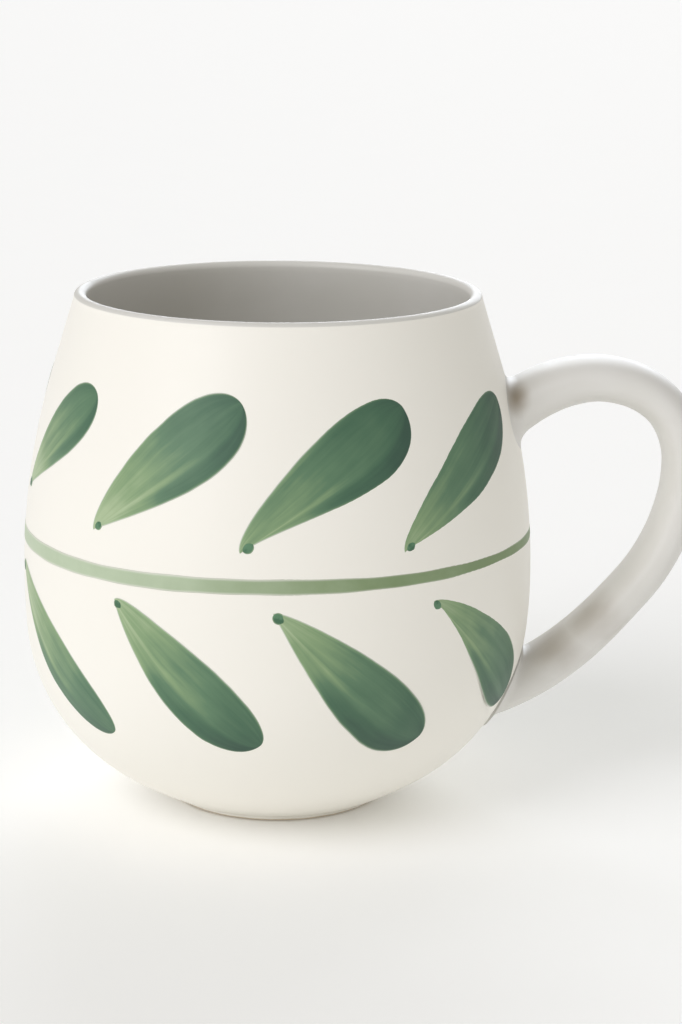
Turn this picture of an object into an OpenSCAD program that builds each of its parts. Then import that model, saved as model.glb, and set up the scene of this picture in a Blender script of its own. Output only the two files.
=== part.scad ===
// Rounded stoneware mug with a loop handle and a band of brush-painted leaves.
// Millimetres, +Z up. The origin is the centre of the foot, and the handle points along +X.
// Azimuths are measured about Z from -Y towards +X, so the handle is at 90 degrees.

/* [Body] */
// Height from foot to lip
height = 93.1; // [90:0.1:97]
// Largest radius of the belly
belly_r = 46; // [44:0.5:48]
// Height of the widest point of the belly
belly_z = 41.5; // [39:0.5:44]
// Outer radius of the rounded lip
rim_r = 36.4; // [36:0.1:37]
// Radius of the lip's rounding, half its thickness
lip_r = 1.15; // [0.9:0.05:1.3]
// Radius of the long, nearly straight flank that runs up to the lip
flank_r = 133; // [125:1:145]
// Radius of the turn from the flank into the bottom
knee_r = 33.7; // [32:0.1:35]
// Angle below the belly at which the flank turns into the knee
knee_start = 4; // [3:0.5:5]
// Angle below the belly at which the knee ends and the cone to the foot starts
knee_end = 60; // [57:0.5:62]
// Thickness of the wall below the lip
wall = 3.4; // [3:0.1:4]
// Thickness of the floor
floor_t = 5.5; // [5:0.1:6.5]
// Width of the bevel round the edge of the foot
foot_bevel = 0.8; // [0.4:0.1:1.2]

/* [Handle] */
// Thickness of the handle strap
strap_t = 8; // [7:0.5:9]
// Width of the handle strap
strap_w = 15.5; // [14:0.5:17]
// Distance of the handle's highest point from the axis
top_x = 58.2; // [57:0.1:59]
// Height of the strap's centre line at its highest point
top_z = 77.3; // [76:0.1:78]
// Bend radius from the body up to the highest point
rise_r = 28; // [26:1:32]
// Bend radius over the outer shoulder
shoulder_r = 15; // [14:0.5:16]
// Bend radius of the grip
grip_r = 37; // [35:0.5:39]
// Bend radius of the tail that runs back into the body
tail_r = 58; // [52:1:62]
// How far the joining clay spreads round the strap
joint_w = 2.2; // [1.5:0.1:3]
// How far the joining clay reaches out along the strap
joint_l = 4.5; // [3:0.5:6]

/* [Painting] */
// Thickness of a brush stroke
paint_t = 0.25; // [0.2:0.05:0.4]
// Height of the stem line's middle
stem_z = 50.3; // [49.5:0.1:51]
// Width of the stem line
stem_w = 2.8; // [2:0.1:3.4]
// Radius of the dark dot at each leaf's tip
dot_r = 0.95; // [0.7:0.05:1.2]

/* [Hidden] */
$fn = 96;

// Each leaf: azimuth of the tip, height of the tip, heading above the level, length, half-width, bow
UPPER = [
    [-79.3, 58.9, 40, 32.2, 5.6, 0.7],
    [-44.6, 57.2, 40, 36.6, 6.7, 0.6],
    [-8.7, 55.9, 37, 38.6, 7.0, 0.8],
    [27.6, 55.1, 35, 38.7, 6.2, 0.7],
    [103, 56.2, 36.5, 36, 6.3, 0.8],
    [136, 57.0, 38, 37, 6.6, 0.9],
    [168.5, 56.4, 36, 38, 6.5, 0.6],
    [201, 57.0, 39, 36.5, 6.2, 0.9],
    [233.5, 57.6, 38, 36, 6.6, 0.8]];
LOWER = [
    [-79.5, 45.4, -37.5, 40.4, 5.2, -0.5],
    [-36.6, 45.9, -42, 36.2, 5.8, -0.9],
    [-1.0, 46.0, -41, 37.8, 6.3, -1.3],
    [35.4, 46.0, -41, 34.5, 6.1, 0.9],
    [106, 45.6, -41, 35.5, 5.8, -0.7],
    [139, 46.0, -42, 37, 6.1, -0.9],
    [171.5, 45.7, -40, 37.5, 5.8, -0.6],
    [204, 46.1, -42, 36.5, 6.2, -1.0],
    [236.5, 45.8, -41, 36, 5.6, -0.7]];

flank_x = belly_r - flank_r;
lip_x = rim_r - lip_r;
lip_z = height - lip_r;
knee_x = flank_x + (flank_r - knee_r) * cos(knee_start);
knee_z = belly_z - (flank_r - knee_r) * sin(knee_start);
// Heights at which the outside turns from flank to knee and from knee to foot cone
turn_z = belly_z - flank_r * sin(knee_start);
cone_z = knee_z - knee_r * sin(knee_end);
foot_x = knee_x + knee_r * cos(knee_end) - cone_z / tan(90 - knee_end);
// The grip bend ends where its slope is that of a 3-4-5 triangle
grip_a = atan2(3, 4);
far = 30;
eps = 0.01;

// Point of the outer skin at an arc length above (or below) the belly, as [radius, height]
function skin_at(a) =
    let(turn = a / flank_r * 180 / PI)
    turn > -knee_start
        ? [flank_x + flank_r * cos(turn), belly_z + flank_r * sin(turn)]
        : let(k = knee_start - (turn + knee_start) * flank_r / knee_r)
            [knee_x + knee_r * cos(k), knee_z - knee_r * sin(k)];

// Arc length above the belly of a height on the flank
function arc_at(z) = asin((z - belly_z) / flank_r) / 180 * PI * flank_r;

// Half-width of a leaf along its length, 0 at the tip and 1 at the widest part
function leaf_width(u) = pow(u, 0.6) * sqrt(1 - pow(u, 6)) / 0.77;

function polar(r, a) = [r * cos(a), r * sin(a)];

// Everything from the axis outwards between two heights
module band_section(z0, z1) {
    polygon([[0, z0], [2 * belly_r, z0], [2 * belly_r, z1], [0, z1]]);
}

// Half section of the mug up to the lip, moved inwards by t
module section(t = 0) {
    R = flank_r - t;
    K = knee_r - t;
    split = belly_z - R * sin(knee_start);
    low = knee_z - K * sin(knee_end);
    edge = knee_x + K * cos(knee_end);
    ground = edge - low / tan(90 - knee_end);
    polygon([[0, 0], [ground, 0], [edge, low], [0, low]]);
    intersection() {
        translate([knee_x, knee_z]) circle(r = K, $fn = 192);
        band_section(low, split);
    }
    intersection() {
        translate([flank_x, belly_z]) circle(r = R, $fn = 720);
        band_section(split, lip_z);
    }
}

// Solid with the mug's outside shape
module outside() {
    rotate_extrude($fn = 192) section();
}

// The inside, which leans in to leave the lip its own thickness
module cavity_section() {
    intersection() {
        section(wall);
        translate([0, floor_t]) square([belly_r, lip_z - floor_t]);
    }
    throat_z = lip_z - 14;
    polygon([[0, throat_z], [flank_x + sqrt(pow(flank_r - wall, 2) - pow(throat_z - belly_z, 2)), throat_z],
        [lip_x - lip_r, lip_z], [lip_x - lip_r, lip_z + eps], [0, lip_z + eps]]);
}

module body() {
    color([0.93, 0.92, 0.90])
    rotate_extrude($fn = 192) {
        difference() {
            section();
            cavity_section();
            foot_bevel_section();
        }
        translate([lip_x, lip_z]) circle(r = lip_r, $fn = 48);
    }
}

// Corner cut off round the edge of the foot
module foot_bevel_section() {
    x = foot_x - foot_bevel;
    polygon([[x, -eps], [x + far, -eps], [x + far, far * tan(15)], [x, 0]]);
}

// Section of the strap: a flat band with fully round edges
module strap_section(t, w) {
    square([t, w - t], center = true);
    for (side = [-1, 1]) translate([0, side * (w - t) / 2]) circle(d = t, $fn = 64);
}

// One bend of the strap in the XZ plane: it starts level with (x, z) at distance r and turns
// upwards by span degrees, or downwards when mirrored
module bend(x, z, r, a0, span, down = false) {
    translate([x, 0, z]) rotate([0, a0, 0]) mirror([0, 0, down ? 1 : 0]) rotate([90, 0, 0])
    rotate_extrude(angle = span, $fn = 192) translate([r, 0]) strap_section(strap_t, strap_w);
}

// The strap: rise, shoulder, grip and tail bends, both ends buried in the wall
module strap() {
    grip_x = top_x + shoulder_r - grip_r;
    grip_z = top_z - shoulder_r;
    bend(top_x, top_z - rise_r, rise_r, -90, 48);
    bend(top_x, grip_z, shoulder_r, 0, 90);
    bend(grip_x, grip_z, grip_r, 0, grip_a, true);
    bend(grip_x + (grip_r - tail_r) * 0.8, grip_z - (grip_r - tail_r) * 0.6, tail_r, grip_a, 42, true);
}

module handle() {
    color([0.92, 0.91, 0.88])
    difference() {
        strap();
        outside();
    }
}

// Collar of joining clay round a root of the strap: at the body it is wider than the strap
module collar(x, z, tilt, inner, outer) {
    translate([x, 0, z]) rotate([0, tilt, 0])
    hull() {
        rotate([0, -90, 0]) linear_extrude(0.5, center = true)
            strap_section($fn = 32, t = strap_t + 2 * inner, w = strap_w + 2 * inner);
        translate([outer, 0, 0]) rotate([0, -90, 0]) linear_extrude(0.1, center = true)
            strap_section($fn = 32, t = strap_t + 0.1, w = strap_w + 0.1);
    }
}

module handle_joint_upper() {
    color([0.86, 0.84, 0.80])
    difference() {
        collar(40.5, 71.6, -24, joint_w, joint_l + 4);
        outside();
        strap();
    }
}

module handle_joint_lower() {
    color([0.86, 0.84, 0.80])
    difference() {
        collar(40.5, 20.8, -28, joint_w, joint_l + 4);
        outside();
        strap();
    }
}

// Ring of thickness paint_t on the flank between two heights
module flank_skin(z0, z1) {
    rotate_extrude($fn = 192)
    intersection() {
        difference() {
            translate([flank_x, belly_z]) circle(r = flank_r + paint_t, $fn = 720);
            translate([flank_x, belly_z]) circle(r = flank_r, $fn = 720);
        }
        translate([belly_r / 2, z0]) square([belly_r, z1 - z0]);
    }
}

// The same on the knee
module knee_skin(z0, z1) {
    rotate_extrude($fn = 192)
    intersection() {
        difference() {
            translate([knee_x, knee_z]) circle(r = knee_r + paint_t, $fn = 192);
            translate([knee_x, knee_z]) circle(r = knee_r, $fn = 192);
        }
        translate([belly_r / 2, z0]) square([belly_r, z1 - z0]);
    }
}

module stem_band() {
    color([0.68, 0.76, 0.62])
    flank_skin(stem_z - stem_w / 2, stem_z + stem_w / 2);
}

// Turns a leaf's own [along, across] point into azimuth from its tip and arc length above the belly
function on_body(p, leaf) =
    let(q = [p[0] * cos(leaf[2]) - p[1] * sin(leaf[2]), p[0] * sin(leaf[2]) + p[1] * cos(leaf[2])])
    [q[0] / belly_r * 180 / PI, arc_at(leaf[1]) + q[1]];

// Prism through the wall that cuts the outline pts, given in the leaf's own [along, across]
module cutter(leaf, pts) {
    mid = leaf[3] / 2 * cos(leaf[2]) / belly_r * 180 / PI;
    flat = [for (p = pts) let(q = on_body(p, leaf), s = skin_at(q[1]))
        [s[0] * sin(q[0] - mid), s[1]]];
    rotate([0, 0, leaf[0] + mid]) translate([0, -20, 0]) rotate([90, 0, 0])
    linear_extrude(35) polygon(flat);
}

function leaf_outline(leaf, n = 28) = [
    for (i = [0:n]) let(u = i / n)
        [leaf[3] * u, leaf[5] * 4 * u * (1 - u) - leaf[4] * leaf_width(u)],
    for (i = [n - 1:-1:1]) let(u = i / n)
        [leaf[3] * u, leaf[5] * 4 * u * (1 - u) + leaf[4] * leaf_width(u)]];

function dot_outline(n = 20) = [for (i = [0:n - 1]) [dot_r / 2, 0] + polar(dot_r, (i + 0.5) * 360 / n)];

module leaf_cutter(l) {
    difference() {
        cutter(l, leaf_outline(l));
        cutter(l, dot_outline());
    }
}

module upper_leaf(l) {
    color([0.40, 0.52, 0.38])
    intersection() {
        flank_skin(stem_z + stem_w, lip_z - 2);
        leaf_cutter(l);
    }
}

// A lower leaf crosses the turn from flank to knee, where its skin is parted by a hair
module lower_leaf(l) {
    color([0.42, 0.55, 0.41]) {
        intersection() {
            flank_skin(turn_z + eps, stem_z - stem_w / 2);
            leaf_cutter(l);
        }
        intersection() {
            knee_skin(cone_z + 2, turn_z);
            leaf_cutter(l);
        }
    }
}

module dots(list) {
    color([0.30, 0.46, 0.33])
    for (l = list)
    intersection() {
        flank_skin(turn_z, lip_z - 2);
        cutter(l, dot_outline());
    }
}

module upper_leaf_1() { upper_leaf(UPPER[0]); }
module upper_leaf_2() { upper_leaf(UPPER[1]); }
module upper_leaf_3() { upper_leaf(UPPER[2]); }
module upper_leaf_4() { upper_leaf(UPPER[3]); }
module upper_leaf_5() { upper_leaf(UPPER[4]); }
module upper_leaf_6() { upper_leaf(UPPER[5]); }
module upper_leaf_7() { upper_leaf(UPPER[6]); }
module upper_leaf_8() { upper_leaf(UPPER[7]); }
module upper_leaf_9() { upper_leaf(UPPER[8]); }
module lower_leaf_1() { lower_leaf(LOWER[0]); }
module lower_leaf_2() { lower_leaf(LOWER[1]); }
module lower_leaf_3() { lower_leaf(LOWER[2]); }
module lower_leaf_4() { lower_leaf(LOWER[3]); }
module lower_leaf_5() { lower_leaf(LOWER[4]); }
module lower_leaf_6() { lower_leaf(LOWER[5]); }
module lower_leaf_7() { lower_leaf(LOWER[6]); }
module lower_leaf_8() { lower_leaf(LOWER[7]); }
module lower_leaf_9() { lower_leaf(LOWER[8]); }
module upper_tip_dots() { dots(UPPER); }
module lower_tip_dots() { dots(LOWER); }

body();
handle();
handle_joint_upper();
handle_joint_lower();
stem_band();
upper_leaf_1();
upper_leaf_2();
upper_leaf_3();
upper_leaf_4();
upper_leaf_5();
upper_leaf_6();
upper_leaf_7();
upper_leaf_8();
upper_leaf_9();
lower_leaf_1();
lower_leaf_2();
lower_leaf_3();
lower_leaf_4();
lower_leaf_5();
lower_leaf_6();
lower_leaf_7();
lower_leaf_8();
lower_leaf_9();
upper_tip_dots();
lower_tip_dots();
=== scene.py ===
"""Rounded stoneware mug with a loop handle and brush-painted leaves, in metres around the CAD frame."""

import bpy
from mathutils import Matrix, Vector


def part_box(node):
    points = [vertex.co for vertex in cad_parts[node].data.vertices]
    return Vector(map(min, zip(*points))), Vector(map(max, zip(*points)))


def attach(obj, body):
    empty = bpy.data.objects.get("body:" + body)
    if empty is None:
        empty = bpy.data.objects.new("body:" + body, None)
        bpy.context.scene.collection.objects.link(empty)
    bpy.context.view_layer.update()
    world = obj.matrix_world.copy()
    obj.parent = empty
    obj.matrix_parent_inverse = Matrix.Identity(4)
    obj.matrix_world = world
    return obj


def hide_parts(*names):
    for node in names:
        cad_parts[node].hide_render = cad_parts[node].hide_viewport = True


bl_info = {
    "name": "Painted Stoneware Mug",
    "version": (1, 0, 0),
    "blender": (4, 5, 0),
    "location": "View3D > Sidebar > Mug",
    "description": "Builds a turned and glazed mug, its pulled handle and its painted leaves",
    "category": "Add Mesh",
}

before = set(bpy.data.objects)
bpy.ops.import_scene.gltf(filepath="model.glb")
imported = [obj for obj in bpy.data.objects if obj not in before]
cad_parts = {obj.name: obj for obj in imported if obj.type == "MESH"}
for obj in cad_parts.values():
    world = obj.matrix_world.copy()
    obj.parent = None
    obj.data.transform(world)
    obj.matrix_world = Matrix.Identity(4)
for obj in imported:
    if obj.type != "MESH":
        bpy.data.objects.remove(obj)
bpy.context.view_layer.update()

import math

import bmesh
import bpy
import numpy as np
from bpy.props import FloatProperty, FloatVectorProperty, IntProperty, PointerProperty
from mathutils import Matrix, Vector

MM = 0.001
BODY_LOW, BODY_HIGH = (Vector(c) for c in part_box("body"))
HEIGHT = BODY_HIGH.z


def colour(hex_code, alpha=1.0):
    """sRGB hex to the linear colour the shader takes."""
    parts = [int(hex_code[i:i + 2], 16) / 255 for i in (1, 3, 5)]
    linear = [c / 12.92 if c <= 0.04045 else ((c + 0.055) / 1.055) ** 2.4 for c in parts]
    return (*linear, alpha)


def length(name, description, default, soft_max=0.2):
    """A size property in metres."""
    return FloatProperty(name=name, description=description, default=default, min=0.0,
                         soft_max=soft_max, subtype="DISTANCE", unit="LENGTH", precision=5)


# ---------------------------------------------------------------- settings

class MugBodySettings(bpy.types.PropertyGroup):
    belly_radius: length("Belly radius", "Largest radius of the body", 45.95 * MM)
    belly_height: length("Belly height", "Height of the widest point", 41.5 * MM)
    rim_radius: length("Rim radius", "Outer radius of the lip", 36.4 * MM)
    lip_radius: length("Lip rounding", "Half the thickness of the lip", 1.15 * MM)
    flank_radius: length("Flank radius", "Radius of the long flank curve", 128 * MM)
    neck_angle: FloatProperty(name="Neck angle", description="Lean at which the straight neck starts",
                              default=math.radians(17), subtype="ANGLE", unit="ROTATION")
    knee_radius: length("Knee radius", "Radius of the turn into the bottom", 33.7 * MM)
    knee_start: FloatProperty(name="Knee start", description="Angle at which the knee starts",
                              default=math.radians(4), subtype="ANGLE", unit="ROTATION")
    knee_end: FloatProperty(name="Knee end", description="Angle at which the base arc starts",
                            default=math.radians(57), subtype="ANGLE", unit="ROTATION")
    base_radius: length("Base radius", "Radius of the flatter arc in to the foot", 75 * MM)
    wall: length("Wall", "Thickness of the wall", 3.4 * MM)
    floor: length("Floor", "Thickness of the floor", 5.5 * MM)
    out_of_round: length("Out of round", "How far the hand-turned body strays from a true circle",
                         0.25 * MM)
    slump: length("Slump", "How far the underside sags away from the handle side", 0.7 * MM)
    segments: IntProperty(name="Segments", description="Divisions round the axis", default=208,
                          min=24, max=512)


class MugHandleSettings(bpy.types.PropertyGroup):
    thickness: length("Strap thickness", "Thickness of the strap at the grip", 7.8 * MM)
    width: length("Strap width", "Width of the strap at the grip", 15.2 * MM)
    fillet: length("Joint fillet", "Reach of the smoothed joining clay", 2.4 * MM)
    around: IntProperty(name="Around", description="Divisions round the strap", default=72,
                        min=16, max=160)


class MugPaintSettings(bpy.types.PropertyGroup):
    lift: length("Paint lift", "How far a stroke stands proud of the glaze", 0.07 * MM)
    stem_height: length("Stem height", "Height of the stem line", 50.3 * MM)
    stem_width: length("Stem width", "Width of the stem line", 2.8 * MM)
    leaf_tip: FloatVectorProperty(name="Leaf tip", description="Thin paint where a stroke starts",
                                  size=4, default=colour("#AABD95"), subtype="COLOR", min=0, max=1)
    leaf_heel: FloatVectorProperty(name="Leaf heel", description="Pooled paint where it ends",
                                   size=4, default=colour("#355545"), subtype="COLOR", min=0, max=1)


class MugStageSettings(bpy.types.PropertyGroup):
    key_strength: FloatProperty(name="Key strength", description="Strength of the tall window's sky light",
                                default=1.0, min=0.0)
    low_strength: FloatProperty(name="Low strength", description="Strength of the light low in the window",
                                default=0.5, min=0.0)
    table_glow: FloatProperty(name="Table glow", description="Light the floor sheet gives off itself",
                              default=0.09, min=0.0)
    back_strength: FloatProperty(name="Back strength", description="Strength of the window behind",
                                 default=1.2, min=0.0)
    fill: FloatProperty(name="Fill", description="Strength of the light from all round",
                        default=0.5, min=0.0)


# ---------------------------------------------------------------- the turned profile

class Profile:
    """Half section of the body in metres. Up from the belly: a long flank arc, then a straight
    neck to the lip. Down from it: the flank, the knee, and a flatter arc in to the foot."""

    def __init__(self, s):
        self.s = s
        flank, knee, base = s.flank_radius, s.knee_radius, s.base_radius
        self.up = [(flank, s.neck_angle), (None, None)]
        self.down = [(flank, s.knee_start), (knee, s.knee_end - s.knee_start), (base, 1.0)]
        self.lip_x = s.rim_radius - s.lip_radius
        self.lip_z = HEIGHT - s.lip_radius
        self.arcs = np.linspace(-60 * MM, 54 * MM, 1500)
        self.table = np.array([self.skin(a) for a in self.arcs])

    def skin(self, a, inset=0.0):
        """Radius and height at arc length a above (or below) the belly line, inset mm inside."""
        up = 1 if a >= 0 else -1
        x, z, turn, left = self.s.belly_radius, self.s.belly_height, 0.0, abs(a)
        for radius, span in (self.up if up > 0 else self.down):
            if radius is None:
                x -= left * math.sin(turn)
                z += left * math.cos(turn)
                break
            step = min(left / radius, span)
            x += radius * (math.cos(turn + step) - math.cos(turn))
            z += up * radius * (math.sin(turn + step) - math.sin(turn))
            turn += step
            left -= step * radius
            if left <= 1e-12:
                break
        return x - inset * math.cos(turn), z - up * inset * math.sin(turn)

    def arc_at(self, z):
        """Arc length above the belly line of a height."""
        return float(np.interp(z, self.table[:, 1], self.arcs))

    def radius(self, z):
        """Outside radius at a height."""
        return float(np.interp(z, self.table[:, 1], self.table[:, 0]))

    def line(self):
        """The closed half section from the middle of the foot round to the middle of the floor."""
        s = self.s
        ground = self.arc_at(0.9 * MM)
        foot, lift = self.skin(ground)
        out = [(foot * t * 0.94, 0.0) for t in (0.0, 0.3, 0.6, 0.8, 0.92, 1.0)]
        # a small rolled edge where the foot meets the floor
        out += [(foot * 0.94 + (foot * 0.06) * math.sin(t), lift - lift * math.cos(t))
                for t in np.linspace(0, math.pi / 2, 8)[1:-1]]
        top = self.arc_at(self.lip_z + s.lip_radius * 0.25)
        out += [self.skin(a) for a in np.linspace(ground, top, 170)]
        first = math.atan2(out[-1][1] - self.lip_z, out[-1][0] - self.lip_x)
        out += [(self.lip_x + s.lip_radius * math.cos(a), self.lip_z + s.lip_radius * math.sin(a))
                for a in np.linspace(first, math.pi - 0.05, 22)[1:]]
        end, low = out[-1], self.arc_at(self.lip_z - 14 * MM)
        goal = self.skin(low, s.wall)
        for t in np.linspace(0, 1, 16)[1:]:
            ease = t * t * (3 - 2 * t)
            out.append((end[0] + (goal[0] - end[0]) * (0.6 * t + 0.4 * ease),
                        end[1] + (goal[1] - end[1]) * t))
        inside = [self.skin(a, s.wall) for a in np.linspace(low, ground, 130)[1:]]
        out += [point for point in inside if point[1] > s.floor + 1.5 * MM]
        last = out[-1]
        for t in np.linspace(0, 1, 9)[1:]:
            out.append((last[0] - 3.4 * MM * (t + 0.3 * t * t),
                        s.floor + (last[1] - s.floor) * (1 - t) ** 2))
        return out + [(out[-1][0] * t, s.floor) for t in (0.75, 0.5, 0.25, 0.0)]


def body_profile():
    return Profile(bpy.context.scene.mug_body)


# ---------------------------------------------------------------- node and mesh helpers

def add_node(tree, kind, settings=None, links=None):
    """Adds one node. settings sets attributes or, for keys in brackets, sockets; links feeds sockets."""
    node = tree.nodes.new(kind)
    for key, value in (settings or {}).items():
        if isinstance(key, int):
            node.inputs[key].default_value = value
        elif key.startswith("["):
            node.inputs[key[1:-1]].default_value = value
        else:
            setattr(node, key, value)
    for key, source in (links or {}).items():
        tree.links.new(source, node.inputs[key])
    return node


def maths(tree, operation, a, b=None, c=None):
    """A Math node's output, with sockets or numbers as operands."""
    node = tree.nodes.new("ShaderNodeMath")
    node.operation = operation
    for i, value in enumerate((a, b, c)):
        if value is None:
            continue
        if isinstance(value, (int, float)):
            node.inputs[i].default_value = value
        else:
            tree.links.new(value, node.inputs[i])
    return node.outputs[0]


def link_object(name, mesh):
    obj = bpy.data.objects.new(name, mesh)
    bpy.context.scene.collection.objects.link(obj)
    return obj


def mesh_from(name, verts, faces, smooth=True):
    mesh = bpy.data.meshes.new(name)
    mesh.from_pydata([tuple(v) for v in verts], [], [tuple(f) for f in faces])
    mesh.validate()
    if smooth:
        mesh.shade_smooth()
    return mesh


def node_group(name, sockets):
    """An empty geometry tree with the named inputs (name, type, default) and one geometry output."""
    tree = bpy.data.node_groups.new(name, "GeometryNodeTree")
    face = tree.interface
    face.new_socket("Geometry", in_out="INPUT", socket_type="NodeSocketGeometry")
    for label, kind, default in sockets:
        item = face.new_socket(label, in_out="INPUT", socket_type="NodeSocket" + kind)
        if default is not None:
            item.default_value = default
    face.new_socket("Geometry", in_out="OUTPUT", socket_type="NodeSocketGeometry")
    return tree


def apply_tree(obj, tree, values):
    """Runs the tree on obj with the named values and returns the result as a plain mesh on obj."""
    modifier = obj.modifiers.new(tree.name, "NODES")
    modifier.node_group = tree
    sockets = {i.name: i.identifier for i in tree.interface.items_tree if i.in_out == "INPUT"}
    for label, value in values.items():
        modifier[sockets[label]] = value
    graph = bpy.context.evaluated_depsgraph_get()
    graph.update()
    mesh = bpy.data.meshes.new_from_object(obj.evaluated_get(graph), depsgraph=graph)
    mesh.name = obj.name
    obj.modifiers.remove(modifier)
    old = obj.data
    obj.data = mesh
    bpy.data.meshes.remove(old)
    return obj


def finish_piece(obj, nodes, material=None):
    """Gives the piece its material, if one is given, puts it on the mug's one body and hides the CAD nodes
    it stands for.
    """
    if material is not None:
        obj.data.materials.clear()
        obj.data.materials.append(material)
    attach(obj, "root")
    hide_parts(*nodes)
    return obj


def line_object(name, points):
    """A mesh of one open chain of edges in the XZ plane."""
    mesh = bpy.data.meshes.new(name)
    mesh.from_pydata([(x, 0.0, z) for x, z in points],
                     [(i, i + 1) for i in range(len(points) - 1)], [])
    return link_object(name, mesh)


# ---------------------------------------------------------------- geometry trees

def turned_vessel_tree():
    """Spins a half section about Z and lets it stray a little from round, as hand turning does."""
    tree = node_group("Turned Vessel", [
        ("Segments", "Int", 256), ("Out of Round", "Float", 0.0002), ("Slump", "Float", 0.0005),
        ("Seed", "Int", 3), ("Material", "Material", None)])
    start = add_node(tree, "NodeGroupInput")
    put = start.outputs
    centre = 0.01
    line = add_node(tree, "GeometryNodeMeshToCurve", links={"Mesh": start.outputs["Geometry"]})
    place = add_node(tree, "GeometryNodeInputPosition")
    split = add_node(tree, "ShaderNodeSeparateXYZ", links={0: place.outputs[0]})
    across = maths(tree, "SUBTRACT", split.outputs["X"], centre)
    upside = maths(tree, "MULTIPLY", split.outputs["Z"], -1.0)
    flat = add_node(tree, "ShaderNodeCombineXYZ", links={"X": across, "Y": upside})
    section = add_node(tree, "GeometryNodeSetPosition",
                       links={"Geometry": line.outputs[0], "Position": flat.outputs[0]})
    ring = add_node(tree, "GeometryNodeCurvePrimitiveCircle", {"[Radius]": centre},
                    {"Resolution": start.outputs["Segments"]})
    spun = add_node(tree, "GeometryNodeCurveToMesh",
                    links={"Curve": ring.outputs[0], "Profile Curve": section.outputs[0]})
    welded = add_node(tree, "GeometryNodeMergeByDistance", {"[Distance]": 0.00001},
                      {"Geometry": spun.outputs[0]})
    # low, wide waves: a few per turn, and none at the foot
    spot = add_node(tree, "GeometryNodeInputPosition")
    wave = add_node(tree, "ShaderNodeTexNoise", {"noise_dimensions": "4D", "[Scale]": 16.0,
                                                 "[Detail]": 1.0},
                    {"Vector": spot.outputs[0], "W": start.outputs["Seed"]})
    height = add_node(tree, "ShaderNodeSeparateXYZ", links={0: spot.outputs[0]})
    rise = add_node(tree, "ShaderNodeMapRange", {"[From Min]": 0.002, "[From Max]": 0.03},
                    {"Value": height.outputs["Z"]})
    amount = maths(tree, "MULTIPLY", maths(tree, "SUBTRACT", wave.outputs[0], 0.5),
                   maths(tree, "MULTIPLY", rise.outputs[0], start.outputs["Out of Round"]))
    outward = add_node(tree, "ShaderNodeCombineXYZ",
                       links={"X": height.outputs["X"], "Y": height.outputs["Y"]})
    unit = add_node(tree, "ShaderNodeVectorMath", {"operation": "NORMALIZE"},
                    {0: outward.outputs[0]})
    shift = add_node(tree, "ShaderNodeVectorMath", {"operation": "SCALE"},
                     {0: unit.outputs[0], "Scale": amount})
    # the underside sags away from the handle side, most a third of the way up
    sag = add_node(tree, "ShaderNodeMapRange", {"interpolation_type": "SMOOTHSTEP", "[From Min]": 0.04,
                                                "[From Max]": 0.012}, {"Value": height.outputs["Z"]})
    seat = add_node(tree, "ShaderNodeMapRange", {"[From Max]": 0.006}, {"Value": height.outputs["Z"]})
    sway = maths(tree, "MULTIPLY", maths(tree, "MULTIPLY", sag.outputs[0], seat.outputs[0]),
                 maths(tree, "MULTIPLY", put["Slump"], -1.0))
    side = maths(tree, "MAXIMUM", 0.0, maths(tree, "DIVIDE", height.outputs["X"], 0.04))
    sag_shift = add_node(tree, "ShaderNodeCombineXYZ", links={"X": maths(tree, "MULTIPLY", sway, side)})
    both = add_node(tree, "ShaderNodeVectorMath", {"operation": "ADD"},
                    {0: shift.outputs[0], 1: sag_shift.outputs[0]})
    moved = add_node(tree, "GeometryNodeSetPosition",
                     links={"Geometry": welded.outputs[0], "Offset": both.outputs[0]})
    # Mark the outer skin, which gets a lighter glaze colour as painted light. The revolved faces still look
    # to the axis here, because outward_normals turns them only afterwards.
    facing = add_node(tree, "GeometryNodeInputNormal")
    look = add_node(tree, "ShaderNodeVectorMath", {"operation": "DOT_PRODUCT"},
                    {0: facing.outputs[0], 1: unit.outputs[0]})
    within = add_node(tree, "ShaderNodeMapRange", {"[From Min]": 0.35, "[From Max]": -0.2},
                      {"Value": look.outputs["Value"]})
    tilt = add_node(tree, "ShaderNodeSeparateXYZ", links={0: facing.outputs[0]})
    above = add_node(tree, "ShaderNodeMapRange", {"[From Min]": -0.5, "[From Max]": -0.4},
                     {"Value": tilt.outputs["Z"]})
    marked = add_node(tree, "GeometryNodeStoreNamedAttribute",
                      {"data_type": "FLOAT", "domain": "POINT", "[Name]": "painted_light_outer"},
                      {"Geometry": moved.outputs[0],
                       "Value": maths(tree, "MULTIPLY", within.outputs[0], above.outputs[0])})
    smooth = add_node(tree, "GeometryNodeSetShadeSmooth", links={"Geometry": marked.outputs[0]})
    real = add_node(tree, "GeometryNodeRealizeInstances", links={"Geometry": smooth.outputs[0]})
    glazed = add_node(tree, "GeometryNodeSetMaterial",
                      links={"Geometry": real.outputs[0], "Material": start.outputs["Material"]})
    add_node(tree, "NodeGroupOutput", links={0: glazed.outputs[0]})
    return tree


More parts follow.
